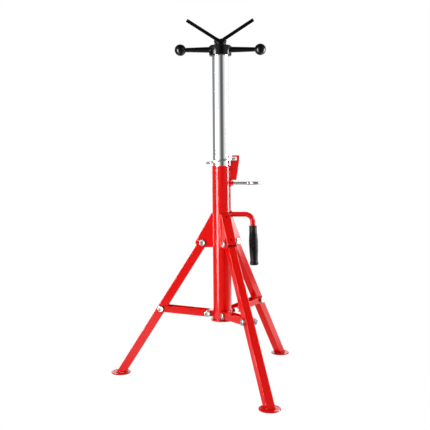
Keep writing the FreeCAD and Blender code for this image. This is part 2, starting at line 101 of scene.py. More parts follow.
def noise(tree, place, size, detail, **more):
    made = addNode(tree, "TexNoise", Vector=place, Scale=perMetre(size), Detail=detail, **more)
    return made.outputs["Fac"]


def remap(tree, value, start, end, low, high):  # start to end becomes low to high
    return addNode(tree, "MapRange", i0=value, i1=start, i2=end, i3=low, i4=high).outputs["Result"]


def combine(tree, operation, *values):
    sockets = {f"i{number}": value for number, value in enumerate(values)}
    return addNode(tree, "Math", {"operation": operation}, **sockets).outputs["Value"]


def blend(tree, share, first, second):  # two colours, each a hex code or another node's output
    ends = [linear(end) if isinstance(end, str) else end for end in (first, second)]
    return addNode(tree, "Mix", {"data_type": "RGBA"}, i0=share, i6=ends[0], i7=ends[1]).outputs[2]


def relief(tree, look, height):
    bump = addNode(tree, "Bump", Strength=look["bump"], Distance=look["depth"] * mm, Height=height)
    return bump.outputs["Normal"]


def closeFinish(tree, colour, gloss, normal, **more):
    surface = addNode(tree, "BsdfPrincipled", Base_Color=colour, Roughness=gloss, Normal=normal, **more)
    addNode(tree, "OutputMaterial", Surface=surface.outputs["BSDF"])


def edgeShare(tree, radius, crisp):  # 0 on flats and rising to 1 on sharp corners, from a rounded normal
    rounded = addNode(tree, "Bevel", {"samples": 6}, Radius=radius * mm)
    flat = addNode(tree, "NewGeometry")
    alike = addNode(tree, "VectorMath", {"operation": "DOT_PRODUCT"},
                    i0=rounded.outputs["Normal"], i1=flat.outputs["Normal"])
    return remap(tree, alike.outputs["Value"], 1.0, crisp, 0.0, 1.0)


# the enamel's colours include a dark red of painted shade for tight corners, and how far that shade reaches
enamel = dict(deep="#E00300", bright="#F00601", thin="#F02A18", paintedShade="#4E0402", cloud=60, chip=7,
              edge=(0.9, 0.75), crevice=9, tight=(0.3, 0.85), paintedShadeMost=0.9, peel=2.4, speck=0.9,
              speckShare=0.25, bump=0.03, depth=0.012, glossFrom=(0.35, 0.7), gloss=(0.1, 0.12), ior=1.33)


def makeRedEnamel():
    # Stoving enamel sprayed on steel: even deep red, wet gloss, orange peel (drawn 2.4 mm, coarser than
    # the real 1 mm, to show) that breaks up the highlights, paint pulled thin and pale over the edges,
    # and painted shade darkening the tight corners round bolts, welds and plates.
    material, tree, place = newFinish("stoved_red_enamel")
    cloud = noise(tree, place, enamel["cloud"], 4.0, Roughness=0.6)
    colour = blend(tree, cloud, enamel["deep"], enamel["bright"])
    chip = noise(tree, place, enamel["chip"], 5.0)
    thin = combine(tree, "MULTIPLY", edgeShare(tree, *enamel["edge"]), chip)
    colour = blend(tree, thin, colour, enamel["thin"])
    # painted shade: where ambient occlusion finds tight corners round bolts, welds and plates, the red is
    # darkened towards dark red
    airy = addNode(tree, "AmbientOcclusion", {"samples": 8}, Distance=enamel["crevice"] * mm)
    corner = remap(tree, airy.outputs["AO"], *enamel["tight"], enamel["paintedShadeMost"], 0.0)
    colour = blend(tree, corner, colour, enamel["paintedShade"])
    gloss = remap(tree, chip, *enamel["glossFrom"], *enamel["gloss"])
    peel = noise(tree, place, enamel["peel"], 2.0)
    speck = noise(tree, place, enamel["speck"], 1.0)
    skin = combine(tree, "MULTIPLY_ADD", speck, enamel["speckShare"], peel)
    closeFinish(tree, colour, gloss, relief(tree, enamel, skin), IOR=enamel["ior"])
    return material


blackPaint = dict(deep="#020202", bright="#060607", rub="#161617", cloud=35, grit=5, edge=(0.7, 0.7),
                  peel=1.8, bump=0.15, depth=0.012, glossFrom=(0.35, 0.7), gloss=(0.03, 0.07), ior=1.34)


def makeBlackEnamel():
    # Gloss black enamel on machined steel: near-black with small sharp highlights, rubbed greyer on corners.
    material, tree, place = newFinish("gloss_black_enamel")
    cloud = noise(tree, place, blackPaint["cloud"], 4.0)
    colour = blend(tree, cloud, blackPaint["deep"], blackPaint["bright"])
    grit = noise(tree, place, blackPaint["grit"], 6.0)
    rub = combine(tree, "MULTIPLY", edgeShare(tree, *blackPaint["edge"]), grit)
    colour = blend(tree, rub, colour, blackPaint["rub"])
    gloss = remap(tree, grit, *blackPaint["glossFrom"], *blackPaint["gloss"])
    peel = noise(tree, place, blackPaint["peel"], 2.0)
    closeFinish(tree, colour, gloss, relief(tree, blackPaint, peel), IOR=blackPaint["ior"])
    return material


chrome = dict(clear="#F2F3F4", hazy="#E3E5E8", smear=40, draw=(0.5, 60), drawShare=0.4, bump=0.05,
              depth=0.004, glossFrom=(0.45, 1.0), gloss=(0.035, 0.085))


def makeChromePlate():
    # Bright chrome on drawn tube: a mirror with faint smears and long hair lines along the tube
    # (drawn 0.5 mm wide and 60 mm long, wider than real ones, to show).
    material, tree, place = newFinish("bright_chrome_plate")
    smear = noise(tree, place, chrome["smear"], 5.0, Roughness=0.65)
    colour = blend(tree, smear, chrome["clear"], chrome["hazy"])
    across, along = (perMetre(size) for size in chrome["draw"])
    stretched = addNode(tree, "Mapping", Vector=place, Scale=(across, across, along))
    drawn = addNode(tree, "TexNoise", Vector=stretched.outputs["Vector"], Scale=1.0, Detail=3.0)
    lines = drawn.outputs["Fac"]
    haze = combine(tree, "MULTIPLY_ADD", lines, chrome["drawShare"], smear)
    gloss = remap(tree, haze, *chrome["glossFrom"], *chrome["gloss"])
    closeFinish(tree, colour, gloss, relief(tree, chrome, lines), Metallic=1.0)
    return material


zinc = dict(cool="#BABEC4", warm="#C3BEB2", dull="#84888C", tint=9, spangle=1.6, dullMost=0.3, bump=0.06,
            depth=0.02, glossFrom=(0.3, 0.7), gloss=(0.20, 0.34))


def makeZincPlate():
    # Clear zinc plating on rolled steel: pale grey with a blue and straw bloom and a fine broken sparkle.
    material, tree, place = newFinish("clear_zinc_plate")
    tint = noise(tree, place, zinc["tint"], 3.0)
    bloom = blend(tree, tint, zinc["cool"], zinc["warm"])
    spangle = addNode(tree, "TexVoronoi", {"feature": "F1"}, Vector=place,
                      Scale=perMetre(zinc["spangle"])).outputs["Distance"]
    colour = blend(tree, remap(tree, spangle, 0.0, 1.0, 0.0, zinc["dullMost"]), bloom, zinc["dull"])
    gloss = remap(tree, tint, *zinc["glossFrom"], *zinc["gloss"])
    closeFinish(tree, colour, gloss, relief(tree, zinc, spangle), Metallic=1.0)
    return material


oiledSteel = dict(dark="#141312", light="#2C2A28", stain=12, marks=3.77, waver=1.5, bump=0.15, depth=0.02,
                  glossFrom=(0.3, 0.7), gloss=(0.28, 0.46))


def makeDarkSteel():
    # Rolled and oiled screw steel: dark brown-grey with turning marks and a wet film.
    material, tree, place = newFinish("oiled_screw_steel")
    stain = noise(tree, place, oiledSteel["stain"], 5.0)
    colour = blend(tree, stain, oiledSteel["dark"], oiledSteel["light"])
    waveTurns = 20 / tau  # marks that the wave texture draws in one unit
    turned = addNode(tree, "TexWave", {"bands_direction": "Z"}, Vector=place,
                     Scale=perMetre(oiledSteel["marks"]) / waveTurns, Distortion=oiledSteel["waver"])
    gloss = remap(tree, stain, *oiledSteel["glossFrom"], *oiledSteel["gloss"])
    closeFinish(tree, colour, gloss, relief(tree, oiledSteel, turned.outputs["Fac"]), Metallic=1.0)
    return material


rubber = dict(black="#060606", grey="#121213", dust=18, pebble=0.9, smooth=0.6, bump=0.25, depth=0.05,
              glossFrom=(0.3, 0.7), gloss=(0.36, 0.52), ior=1.27)


def makeGripRubber():
    # Moulded synthetic rubber: soft black with a satin bloom and a fine pebble from the mould.
    material, tree, place = newFinish("moulded_black_rubber")
    dust = noise(tree, place, rubber["dust"], 5.0)
    colour = blend(tree, dust, rubber["black"], rubber["grey"])
    pebble = addNode(tree, "TexVoronoi", {"feature": "SMOOTH_F1"}, Vector=place,
                     Scale=perMetre(rubber["pebble"]), Smoothness=rubber["smooth"])
    gloss = remap(tree, dust, *rubber["glossFrom"], *rubber["gloss"])
    closeFinish(tree, colour, gloss, relief(tree, rubber, pebble.outputs["Distance"]), IOR=rubber["ior"])
    return material


brass = dict(bright="#C9A24E", tarnish="#8A6A34", stain=6, bump=0.1, depth=0.02, glossFrom=(0.3, 0.7),
             gloss=(0.22, 0.42))


def makeBearingBrass():
    # Turned brass: warm yellow, browner where it has been handled.
    material, tree, place = newFinish("turned_brass")
    stain = noise(tree, place, brass["stain"], 4.0)
    colour = blend(tree, stain, brass["bright"], brass["tarnish"])
    gloss = remap(tree, stain, *brass["glossFrom"], *brass["gloss"])
    closeFinish(tree, colour, gloss, relief(tree, brass, stain), Metallic=1.0)
    return material


finishes = dict(red_enamel=makeRedEnamel(), black_enamel=makeBlackEnamel(), chrome_tube=makeChromePlate(),
                zinc_plate=makeZincPlate(), dark_steel=makeDarkSteel(), grip_rubber=makeGripRubber(),
                bearing_brass=makeBearingBrass())
for nodeName, nodeObject in cadNodes.items():
    nodeObject.data.materials.clear()
    nodeObject.data.materials.append(finishes[slotOf[nodeName]])
print("finishes made:", len(finishes))


# surfaces

def shellFaces(rows, columns, closeRows):
    # quads between neighbouring rows and round each ring, first round the ring and then along
    row, column = np.meshgrid(np.arange(rows if closeRows else rows - 1), np.arange(columns), indexing="ij")
    nextRow = (row + 1) % rows
    nextColumn = (column + 1) % columns
    quads = np.stack([row * columns + column, row * columns + nextColumn,
                      nextRow * columns + nextColumn, nextRow * columns + column], axis=-1)
    return quads.reshape(-1, 4)


def capFaces(ring, centre, turnOver):  # a fan from a middle point to one end ring
    following = np.roll(ring, -1)
    middle = np.full_like(ring, centre)
    return np.stack([middle, following, ring] if turnOver else [middle, ring, following], axis=-1)


def buildPiece(name, shells, body, slot, *standsFor, sharp=32):
    # each shell is a grid of rows x columns x 3 points in mm, and True where its last row joins the first;
    # the ends of other shells are capped
    points, faces, offset = [], [], 0
    for grid, closeRows in shells:
        rows, columns = grid.shape[:2]
        points.append(grid.reshape(-1, 3))
        faces += (shellFaces(rows, columns, closeRows) + offset).tolist()
        count = rows * columns
        if not closeRows:
            points += [grid[0].mean(axis=0)[None], grid[-1].mean(axis=0)[None]]
            first = np.arange(columns) + offset
            last = first + (rows - 1) * columns
            faces += capFaces(first, offset + count, True).tolist()
            faces += capFaces(last, offset + count + 1, False).tolist()
            count += 2
        offset += count
    mesh = bpy.data.meshes.new(name)
    mesh.from_pydata(np.concatenate(points) * mm, [], faces)
    mesh.shade_smooth()
    mesh.set_sharp_from_angle(angle=np.radians(sharp))
    mesh.materials.append(finishes[slot])
    piece = bpy.data.objects.new(name, mesh)
    scene.collection.objects.link(piece)
    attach(piece, body)
    if standsFor:
        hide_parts(*standsFor)


def unit(vectors):
    return vectors / np.linalg.norm(vectors, axis=-1, keepdims=True)


def turnsRound(columns):  # the angles of a ring's points
    return np.arange(columns) * tau / columns


def turnedGrid(start, axis, sideways, along, radius):
    # ring point = start + along * axis + radius * (cos turn * sideways + sin turn * upward)
    turn = turnsRound(radius.shape[1])
    upward = np.cross(axis, sideways)
    ring = np.cos(turn)[:, None] * sideways + np.sin(turn)[:, None] * upward
    return start + along[:, None, None] * axis + radius[:, :, None] * ring


def tubeAlong(path, radius, reference, closed=False, columns=14, flat=1.0):
    # a round section carried along a path, flattened along the reference where flat is under 1
    if closed:
        ahead = unit(np.roll(path, -1, axis=0) - np.roll(path, 1, axis=0))
    else:
        ahead = unit(np.gradient(path, axis=0))
    sideways = unit(np.cross(ahead, reference))
    upward = np.cross(ahead, sideways)
    turn = turnsRound(columns)[None, :, None]
    ring = np.cos(turn) * sideways[:, None] + flat * np.sin(turn) * upward[:, None]
    return path[:, None] + np.reshape(radius, (-1, 1, 1)) * ring


def threadRadius(outer, along, screw, fromTip, fade=1.0):
    # outer radius less the depth in the roots, cut back by a 45 degree cone at the tip; the thread is
    # a trapezium of the helix phase, along / pitch - turn / full turn
    phase = np.mod(along[:, None] / screw["pitch"] - turnsRound(screw["columns"]) / tau, 1.0)
    flank = 0.5 - screw["crest"]
    height = np.clip((np.abs(phase - 0.5) - screw["crest"] / 2) / flank, 0.0, 1.0)
    radius = outer - screw["depth"] * (1 - height) * fade
    return np.minimum(radius, outer - screw["lead"] + fromTip[:, None])


def boxMm(node):
    low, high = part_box(node)
    return np.array(low) / mm, np.array(high) / mm


def halfAcross(node):  # half the width along Y, for a piece that lies along X
    low, high = boxMm(node)
    return (high[1] - low[1]) / 2


# jack screw

jackThread = dict(pitch=5.0, depth=2.75, crest=0.37, lead=2.0, columns=64, rowsPerPitch=16)


def makeJackScrew():
    # a threaded rod as long and as thick as the solid, with its cone at the lower end
    low, high = boxMm("jack_screw")
    outer = (high[0] - low[0]) / 2
    length = high[2] - low[2]
    along = np.linspace(0, length, int(length / jackThread["pitch"] * jackThread["rowsPerPitch"]))
    radius = threadRadius(outer, along, jackThread, along)
    grid = turnedGrid(np.array([0, 0, low[2]]), up, east, along, radius)
    buildPiece("threaded_jack_screw", [(grid, False)], "head", "dark_steel", "jack_screw", sharp=40)


makeJackScrew()


# eye screw

eye = dict(shank=8.0, wire=8.0, ring=31.0, pitch=1.25, depth=0.65, crest=0.2, lead=1.0, threaded=15.0,
           neck=1.3, neckSpread=4.0, columns=40, rowStep=0.2, ringRows=96, wireColumns=28)


def makeEyeScrew():
    # shank radius = thread, then plain, then swelling by a bell curve into the ring, which is a torus
    low, high = boxMm("eye_screw")
    level = (low[2] + high[2]) / 2
    ringRadius = eye["ring"] / 2
    ringCentre = high[0] - eye["wire"] / 2 - ringRadius
    length = ringCentre - ringRadius - low[0]
    along = np.arange(0, length, eye["rowStep"])
    fade = np.clip((eye["threaded"] - along[:, None]) / eye["pitch"], 0, 1)
    radius = threadRadius(eye["shank"] / 2, along, eye, along, fade)
    radius = radius + eye["neck"] * np.exp(-((length - along[:, None]) / eye["neckSpread"]) ** 2)
    shank = turnedGrid(np.array([low[0], 0, level]), east, north, along, radius)
    around = turnsRound(eye["ringRows"])
    ring = np.stack([ringCentre + ringRadius * np.cos(around), ringRadius * np.sin(around),
                     np.full_like(around, level)], axis=-1)
    wireRadius = np.full_like(around, eye["wire"] / 2)
    wire = tubeAlong(ring, wireRadius, up, closed=True, columns=eye["wireColumns"])
    buildPiece("threaded_eye_screw", [(shank, False), (wire, True)], "eye_screw", "zinc_plate", "eye_screw",
               sharp=45)


makeEyeScrew()


# hex fasteners

bolt = dict(shank=10.0, flats=16.0, headHeight=6.4, nutHeight=8.0, spare=3.0, top=15.2, slope=60.0,
            sideRows=14, washerFace=0.5, washerRadius=7.6, dish=0.5, dishShares=(0.78, 0.62), pitch=1.5,
            depth=0.8, crest=0.2, lead=1.2, threaded=16.0, columns=72, rowStep=0.22, sheet=2.0, bore=10.1,
            mouth=0.9, collarGap=0.3)
headSide = dict(rear=-1, left=1, front=-1)  # which side of its leg the heads are on
headSpin = dict(rear=0.2, left=0.5, front=0.85)  # how far each hexagon is turned, in radians
moreSpin = dict(nut=0.3, braceHead=0.4)


def hexRadius(turn):  # half the width over the cosine of the angle from the middle of the flat
    fromFlat = np.mod(turn, tau / 6) - tau / 12
    return bolt["flats"] / 2 / np.cos(fromFlat)


def hexRows(height):
    # rings up the side of a head or nut: washer face, then the hexagon cut by a cone at its top corners
    slope = np.tan(np.radians(bolt["slope"]))
    face = bolt["washerFace"]
    along = np.concatenate([[0, face], np.linspace(face, height, bolt["sideRows"])])
    cone = bolt["top"] / 2 + (height - along) * slope
    side = np.minimum(hexRadius(turnsRound(bolt["columns"]))[None], cone[:, None])
    side[:2] = bolt["washerRadius"]
    return along, side


def boltRows(seat, tailLength):
    # along the bolt from its tail: cone tip, thread, plain shank, head and its dished top
    along = np.arange(-tailLength, 0, bolt["rowStep"])
    fromTip = along + tailLength
    fade = np.clip((bolt["threaded"] - fromTip[:, None]) / bolt["pitch"], 0, 1)
    shank = threadRadius(bolt["shank"] / 2, along, bolt, fromTip, fade)
    headAlong, head = hexRows(bolt["headHeight"])
    topAlong = np.array([bolt["headHeight"], bolt["headHeight"] - bolt["dish"]])
    top = np.repeat(np.array(bolt["dishShares"])[:, None] * bolt["top"] / 2, bolt["columns"], axis=1)
    return np.concatenate([along, headAlong, topAlong]) + seat, np.concatenate([shank, head, top])


def nutRows(seat):
    # a closed profile: up the hexagon, in over the top, down the bore and out under the bottom
    along, side = hexRows(bolt["nutHeight"])
    bore = np.full((1, bolt["columns"]), bolt["bore"] / 2)
    mouth = bore + bolt["mouth"]
    top = bolt["nutHeight"]
    inside = [top, top - bolt["mouth"], bolt["mouth"], 0]
    return np.concatenate([along, inside]) + seat, np.concatenate([side, mouth, bore, bore, mouth])


def legFrame(name):  # a leg's outward direction and the one square to its plane
    outward = np.array(joints[f"leg_{name}_fold"]["pos_m"])
    outward = unit(np.array([outward[0], outward[1], 0]))
    return outward, np.cross(up, outward)


def fastenerAt(name, centre, rows, backwards=False, spin=0.0):
    # a fastener's rows about an axis square to its leg's plane, pointing to the head side or away from it
    outward, across = legFrame(name)
    axis = across * headSide[name] * (-1 if backwards else 1)
    sideways = np.cos(spin) * outward + np.sin(spin) * up
    along, radius = rows
    return turnedGrid(centre, axis, sideways, along, radius)


def makePivotFasteners(group, jointName, body, seat):
    # bolts through the leg pivots or the collar's lugs, head on one side and nut on the other
    bolts, nuts = [], []
    tail = 2 * seat + bolt["nutHeight"] + bolt["spare"]
    for name in legNames:
        centre = np.array(joints[jointName.format(name)]["pos_m"]) / mm
        spin = headSpin[name]
        bolts.append((fastenerAt(name, centre, boltRows(seat, tail), spin=spin), False))
        nuts.append((fastenerAt(name, centre, nutRows(seat), True, spin + moreSpin["nut"]), True))
    buildPiece(group + "_hex_bolts", bolts, body, "zinc_plate", group + "_bolts")
    buildPiece(group + "_hex_nuts", nuts, body, "zinc_plate", group + "_nuts")


def makeBraceFasteners(seat):
    # two ends in the brace's cheeks: a head on a plain stub, and a threaded tail with its nut
    tailLength = bolt["sheet"] + bolt["nutHeight"] + bolt["spare"]
    for name in legNames:
        outward = legFrame(name)[0]
        middle = sum(boxMm("brace_bolt_" + name)) / 2
        centre = outward * (middle @ outward) + up * middle[2]
        headAlong, headRadius = boltRows(seat, bolt["sheet"])
        headRadius[headAlong < seat] = bolt["shank"] / 2
        tailAlong = np.arange(0, tailLength + 0.01, bolt["rowStep"])
        tailRadius = threadRadius(bolt["shank"] / 2, tailAlong, bolt, tailLength - tailAlong)
        tail = (tailAlong + seat - bolt["sheet"], tailRadius)
        spin = headSpin[name]
        head = fastenerAt(name, centre, (headAlong, headRadius), spin=spin + moreSpin["braceHead"])
        ends = [(head, False), (fastenerAt(name, centre, tail, True), False)]
        buildPiece("brace_hex_bolt_" + name, ends, "brace_" + name, "zinc_plate", "brace_bolt_" + name)
        nut = fastenerAt(name, centre, nutRows(seat), True, spin)
        buildPiece("brace_hex_nut_" + name, [(nut, True)], "brace_" + name, "zinc_plate", "brace_nut_" + name)


braceSeat = halfAcross("brace_left")
makePivotFasteners("leg_pivot", "leg_{}_fold", "stand", halfAcross("leg_bracket_left"))
makePivotFasteners("collar", "brace_{}_swing", "collar", braceSeat + bolt["collarGap"])
makeBraceFasteners(braceSeat)
print("screws and fasteners made")


# carry handle grip

grip = dict(length=109.5, start=11.5, bend=21.0, rod=14.0, axisX=86.6, turn=88.4, flange=22.0,
            flangeLength=3.0, flangeRound=0.8, neck=20.4, belly=25.5, bellyAt=47.0, waist=20.8,
            waistBefore=9.5, end=23.4, endLength=7.0, endRound=2.6, endRows=10, ribStart=14.5, ribPitch=5.9,
            ribCount=9, ribDepth=1.25, grooveSharp=6, seam=0.25, seamWidth=0.04, boreGap=0.06,
            boreReach=(6.0, 0.3), columns=96, step=0.3)


def gripRadius(along):
    # half a cosine from neck to belly and from belly to waist, less rounded grooves between the ribs,
    # with a rounded flange at the mouth and a thick rounded end
    waist = grip["length"] - grip["waistBefore"]
    rising = (along - grip["flangeLength"]) / (grip["bellyAt"] - grip["flangeLength"])
    falling = (waist - along) / (waist - grip["bellyAt"])
    share = np.clip(np.where(along < grip["bellyAt"], rising, falling), 0, 1)
    thin = np.where(along < grip["bellyAt"], grip["neck"], grip["waist"])
    radius = (thin + (grip["belly"] - thin) * (1 - np.cos(np.pi * share)) / 2) / 2
    ribEnd = grip["ribStart"] + grip["ribCount"] * grip["ribPitch"]
    ribbed = (along > grip["ribStart"]) & (along < ribEnd)
    phase = (along - grip["ribStart"]) / grip["ribPitch"]
    radius = radius - grip["ribDepth"] * np.cos(np.pi * phase) ** grip["grooveSharp"] * ribbed
    halfFlange = grip["flangeLength"] / 2
    mouth = grip["flange"] / 2 - grip["flangeRound"] * (np.abs(along - halfFlange) / halfFlange) ** 4
    radius = np.where(along < grip["flangeLength"], np.maximum(mouth, grip["neck"] / 2), radius)
    swell = np.clip((along - waist) / (grip["waistBefore"] - grip["endLength"]), 0, 1)
    thick = grip["waist"] / 2 + (grip["end"] - grip["waist"]) / 2 * swell * swell * (3 - 2 * swell)
    radius = np.where(along > waist, thick, radius)
    drop = np.clip(along - (grip["length"] - grip["endRound"]), 0, grip["endRound"])
    return radius - grip["endRound"] + np.sqrt(grip["endRound"] ** 2 - drop ** 2)


def makeGrip():
    # the grip's radius turned about the rod below its bend, plus a raised mould line on two sides
    high = boxMm("handle_rod")[1]
    rodRadius = grip["rod"] / 2
    turn = np.radians(grip["turn"])
    pivot = np.array([grip["axisX"] - grip["bend"], 0, high[2] - rodRadius - grip["bend"]])
    bendEnd = pivot + grip["bend"] * np.array([np.sin(turn), 0, np.cos(turn)])
    down = np.array([np.cos(turn), 0, -np.sin(turn)])
    endTurn = np.linspace(0, np.pi / 2, grip["endRows"])
    along = np.concatenate([np.arange(0, grip["length"] - grip["endRound"], grip["step"]),
                            grip["length"] - grip["endRound"] * (1 - np.sin(endTurn))])
    seam = grip["seam"] * np.exp(-(np.sin(turnsRound(grip["columns"])) / grip["seamWidth"]) ** 2)
    radius = gripRadius(along)[:, None]
    outside = radius + seam * (radius > rodRadius)
    bore = np.full((2, grip["columns"]), rodRadius + grip["boreGap"])
    grid = turnedGrid(bendEnd + down * grip["start"], down, np.cross(north, down),
                      np.concatenate([grip["boreReach"], along]), np.concatenate([bore, outside]))
    buildPiece("ribbed_grip", [(grid, False)], "stand", "grip_rubber", "handle_grip", sharp=50)


makeGrip()
print("grip made")


# weld beads

weld = dict(ripple=2.6, swell=0.16, wander=0.1, spacing=0.45, endLength=1.2, flat=0.5, cornerLift=0.15,
            columns=22, ringPoints=160, handle=3.0, handleGap=(0.6, 0.3), boss=2.8, bossGap=(0.3, 0.2),
            hook=3.3, hookInset=1.0, hookPoints=60, bracket=3.6, bracketInset=1.5, bracketPoints=120)


def weldBead(path, radius, reference, closed=False, flat=1.0):
    # section radius = radius * (1 + swell * a rounded saw of the ripple + a slow seeded wander),
    # round at its ends
    steps = np.linalg.norm(np.diff(path, axis=0), axis=1)
    along = np.concatenate([[0], np.cumsum(steps)])
    length = along[-1]
    even = np.linspace(0, length, max(8, int(length / weld["spacing"])), endpoint=not closed)
    line = np.stack([np.interp(even, along, path[:, axis]) for axis in range(3)], axis=-1)
    ripples = max(1, round(length / weld["ripple"]))
    phase = np.mod(even / length * ripples, 1.0)
    saw = np.sqrt(np.sin(np.pi * phase) + 0.02) - 0.6  # about 0 on average
    slow = sum(np.sin(tau * number * even / length + dice.uniform(0, tau)) / number
               for number in (1, 2, 3, 5))
    size = radius * (1 + weld["swell"] * saw + weld["wander"] * slow / 2)
    if not closed:
        ends = np.minimum(even, length - even) / (weld["endLength"] * radius)
        size = size * np.sqrt(np.clip(1 - (1 - np.clip(ends, 0, 1)) ** 2, 0.02, 1))
    return tubeAlong(line, size, reference, closed, weld["columns"], flat), closed


def cornerBeads(outward, across, offset, levels, postRadius, radius):
    # flat beads up the two corners between the post and an upright plate, facing midway between them
    reach = np.sqrt(postRadius ** 2 - offset ** 2)
    beads = []
    for side in (-1, 1):
        edge = outward * reach + across * side * offset
        face = unit(edge / postRadius + across * side)
        corner = edge + face * radius * weld["cornerLift"]
        beads.append(weldBead(corner + levels[:, None] * up, radius, face, flat=weld["flat"]))
    return beads


def ringBead(level, rodRadius, gaps, postRadius, radius):
    # round a rod along X where it meets the post: x = square root of post radius squared less y squared
    turn = np.linspace(0, tau, weld["ringPoints"])
    rod, post = rodRadius + gaps[0], postRadius + gaps[1]
    y = rod * np.cos(turn)
    line = np.stack([np.sqrt(post ** 2 - y ** 2), y, level + rod * np.sin(turn)], axis=-1)
    return weldBead(line, radius, east, True)


def makePostWelds():
    low, high = boxMm("outer_tube")
    postTop = high[2]
    postRadius = (high[0] - low[0]) / 2
    rodRadius = grip["rod"] / 2
    rodLevel = boxMm("handle_rod")[1][2] - rodRadius
    bead = ringBead(rodLevel, rodRadius, weld["handleGap"], postRadius, weld["handle"])
    buildPiece("handle_weld", [bead], "stand", "red_enamel")
    low, high = boxMm("clamp_boss")
    bead = ringBead((low[2] + high[2]) / 2, (high[2] - low[2]) / 2, weld["bossGap"], postRadius, weld["boss"])
    buildPiece("clamp_boss_weld", [bead], "stand", "red_enamel")
    low, high = boxMm("hook_bracket")
    levels = np.linspace(low[2] + weld["hookInset"], postTop - weld["hookInset"], weld["hookPoints"])
    beads = cornerBeads(east, north, high[1], levels, postRadius, weld["hook"])
    buildPiece("hook_weld", beads, "stand", "red_enamel")
    halfWidth = halfAcross("leg_bracket_left")
    for name in legNames:
        low, high = boxMm("leg_bracket_" + name)
        inset = weld["bracketInset"]
        levels = np.linspace(low[2] + inset, high[2] - inset, weld["bracketPoints"])
        beads = cornerBeads(*legFrame(name), halfWidth, levels, postRadius, weld["bracket"])
        buildPiece("bracket_weld_" + name, beads, "stand", "red_enamel")


footWeld = dict(radius=1.9, spread=32.64, corner=0.28, lift=0.4, points=240)


def makeFootWelds():
    # a superellipse close to the leg's rounded square where it meets its foot, longer outwards by its slope
    spread = np.radians(footWeld["spread"])
    half = halfAcross("leg_left")
    turn = np.linspace(0, tau, footWeld["points"])
    x = np.sign(np.cos(turn)) * np.abs(np.cos(turn)) ** footWeld["corner"] * half / np.cos(spread)
    y = np.sign(np.sin(turn)) * np.abs(np.sin(turn)) ** footWeld["corner"] * half
    for name in legNames:
        outward, across = legFrame(name)
        low, high = boxMm("foot_" + name)
        foot = (low + high) / 2 - outward * np.tan(spread) * (high[2] - low[2])
        foot[2] = high[2] + footWeld["lift"]
        line = foot + x[:, None] * outward + y[:, None] * across
        bead = weldBead(line, footWeld["radius"], up, True)
        buildPiece("foot_weld_" + name, [bead], "leg_" + name, "red_enamel")


saddleWeld = dict(radius=1.6, bend=21.5, angle=32.6, bossDrop=1.8, sink=0.3, turn=7.5)


def makeSaddleWeld():
    # round the boss under the bent bar: level = bend centre - square root of bend radius squared less
    # x squared, and straight up the arm past the bend
    low, high = boxMm("saddle_boss")
    radius = (high[0] - low[0]) / 2
    turn = np.linspace(0, tau, weld["ringPoints"])
    x = radius * np.cos(turn)
    y = radius * np.sin(turn)
    angle = np.radians(saddleWeld["angle"])
    straight = saddleWeld["bend"] * np.sin(angle)
    centre = low[2] + saddleWeld["bossDrop"] + saddleWeld["bend"]
    bend = centre - np.sqrt(saddleWeld["bend"] ** 2 - np.minimum(np.abs(x), straight) ** 2)
    level = bend + np.clip(np.abs(x) - straight, 0, None) * np.tan(angle) - saddleWeld["sink"]
    way = np.radians(saddleWeld["turn"])
    along = np.array([np.cos(way), np.sin(way), 0])
    line = x[:, None] * along + y[:, None] * np.cross(up, along) + level[:, None] * up
    bead = weldBead(line, saddleWeld["radius"], up, True)
    buildPiece("saddle_weld", [bead], "head", "black_enamel")


makePostWelds()
makeFootWelds()
makeSaddleWeld()
print("welds made")


# stage, light and camera

photoTurn = 7.5  # degrees that the camera stands right of the front


def awayFrom(turn, distance, level):  # a place round the object, turned right of the camera in degrees
    angle = np.radians(photoTurn + turn)
    return np.array([np.sin(angle) * distance, -np.cos(angle) * distance, level])


def placed(place, side, above, back):  # a frame at a place, from its X, Y and Z directions
    turned = Matrix(np.column_stack([side, above, back]).tolist()).to_4x4()
    turned.translation = place
    return turned


softbox = dict(width=1.3, height=2.2, distance=2.3, level=1.0, aim=0.55)
softboxes = dict(key_left=dict(turn=-55, power=33), fill_right=dict(turn=95, power=22))


def addSoftbox(name, turn, power):  # a large lamp that points at the middle of the object
    lamp = bpy.data.lights.new(name, "AREA")
    lamp.shape = "RECTANGLE"
    lamp.size = softbox["width"]
    lamp.size_y = softbox["height"]
    lamp.energy = power
    holder = bpy.data.objects.new(name, lamp)
    scene.collection.objects.link(holder)
    place = awayFrom(turn, softbox["distance"], softbox["level"])
    back = unit(place - up * softbox["aim"])
    side = unit(np.cross(up, back))
    holder.matrix_world = placed(place, side, np.cross(back, side), back)
    holder.visible_camera = False
    holder.visible_glossy = False


board = dict(distance=0.95, low=0.02, high=1.043)
cards = dict(left_card=dict(turn=-57, spread=23, fade=(0.1, 0.25), levels=(14.0, 26.0), slant=0.0),
             right_card=dict(turn=94.3, spread=27.4, fade=(0.17, 0.48), levels=(1.4, 23.5), slant=0.22))


def addCard(name, turn, spread, fade, levels, slant):
    # a white board that only reflections see: flat, upright and square to the line from the object,
    # and dimmer below, between the two heights of its fade, which slants down to its right
    half = board["distance"] * np.tan(np.radians(spread / 2))
    low, high = board["low"], board["high"]
    corner = np.array([[-half, low], [half, low], [half, high], [-half, high]])
    place = awayFrom(turn, board["distance"], 0.0)
    side = np.cross(up, unit(place))
    mesh = bpy.data.meshes.new(name)
    mesh.from_pydata(place + corner[:, :1] * side + corner[:, 1:] * up, [], [[0, 3, 2, 1]])
    material, tree, seat = newFinish(name)
    height = addNode(tree, "VectorMath", {"operation": "DOT_PRODUCT"}, i0=seat, i1=up + slant * side)
    level = remap(tree, height.outputs["Value"], *fade, *levels)
    glow = addNode(tree, "Emission", Color=linear("#FFFFFF"), Strength=level)
    addNode(tree, "OutputMaterial", Surface=glow.outputs["Emission"])
    mesh.materials.append(material)
    card = bpy.data.objects.new(name, mesh)
    scene.collection.objects.link(card)
    card.visible_camera = False
    card.visible_diffuse = False
    card.visible_shadow = False


